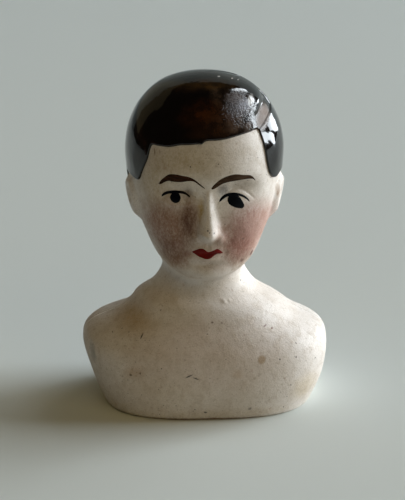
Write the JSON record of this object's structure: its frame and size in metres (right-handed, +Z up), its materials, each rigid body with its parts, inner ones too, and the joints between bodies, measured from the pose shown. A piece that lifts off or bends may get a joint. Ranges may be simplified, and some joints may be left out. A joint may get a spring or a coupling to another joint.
{
  "type": "doll head",
  "caption": "Small hollow bisque shoulder head of a doll with moulded glazed hair and painted features, standing on the flat rim of its shoulder plate.",
  "frame": {"origin": "centre of the overall box, at the flat lower rim of the shoulder plate", "axes": "+Z up through the crown, the face looks along -Y, +X towards the doll's own left shoulder"},
  "size_m": [0.0372, 0.0251, 0.05],
  "materials": {
    "bisque": "matt",
    "hair_glaze": "gloss",
    "brow_enamel": "satin",
    "eye_enamel": "satin",
    "lip_enamel": "satin"
  },
  "bodies": {
    "root": {"front_shell": "bisque", "rear_shell": "bisque", "hair_glaze": "hair_glaze", "right_eyebrow": "brow_enamel", "left_eyebrow": "brow_enamel", "right_lid_line": "eye_enamel", "left_lid_line": "eye_enamel", "right_iris": "eye_enamel", "left_iris": "eye_enamel", "lips": "lip_enamel"}
  },
  "joints": []
}
